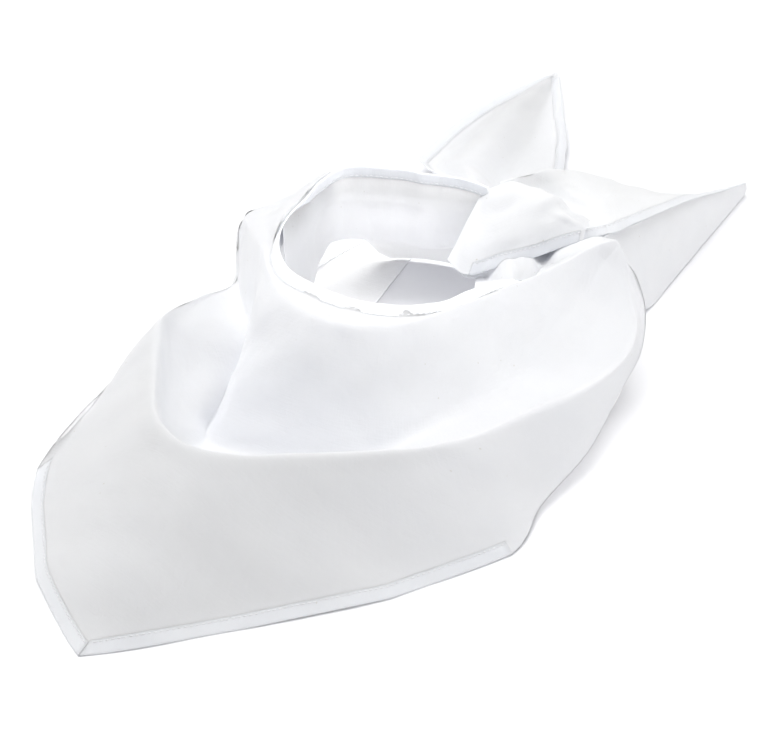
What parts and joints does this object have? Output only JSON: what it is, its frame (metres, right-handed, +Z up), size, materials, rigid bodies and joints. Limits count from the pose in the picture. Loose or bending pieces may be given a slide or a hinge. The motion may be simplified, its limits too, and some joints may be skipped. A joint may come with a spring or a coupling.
{
  "type": "neckerchief",
  "caption": "Triangular cotton neckerchief tied in a loop with a side knot and two tails, its wide front drape lying in soft folds on a table.",
  "frame": {"origin": "bottom centre of the bounding box, on the surface the cloth lies on", "axes": "+Z up from the surface, -Y towards the pointed corner of the front drape, +Y towards the tails, +X towards the knot and the right tail"},
  "size_m": [0.2616, 0.7026, 0.0969],
  "materials": {
    "cotton": "plain woven white cotton, matte, with small slubs",
    "hemmed_cotton": "white cotton turned twice and stitched, matte",
    "shaded_cotton": "plain woven white cotton, matte, seen inside the folds"
  },
  "bodies": {
    "root": {"bib": "cotton", "neck_hem": "hemmed_cotton", "neck_band": "cotton", "back_drape": "cotton", "left_turn_under": "shaded_cotton", "right_turn_under": "shaded_cotton", "bib_hem_right": "hemmed_cotton", "bib_hem_left": "hemmed_cotton", "knot_wrap": "cotton", "knot_core": "shaded_cotton", "right_tail": "cotton", "right_tail_hem": "hemmed_cotton", "back_tail": "cotton", "back_tail_hem_left": "hemmed_cotton", "back_tail_hem_right": "hemmed_cotton"}
  },
  "joints": []
}
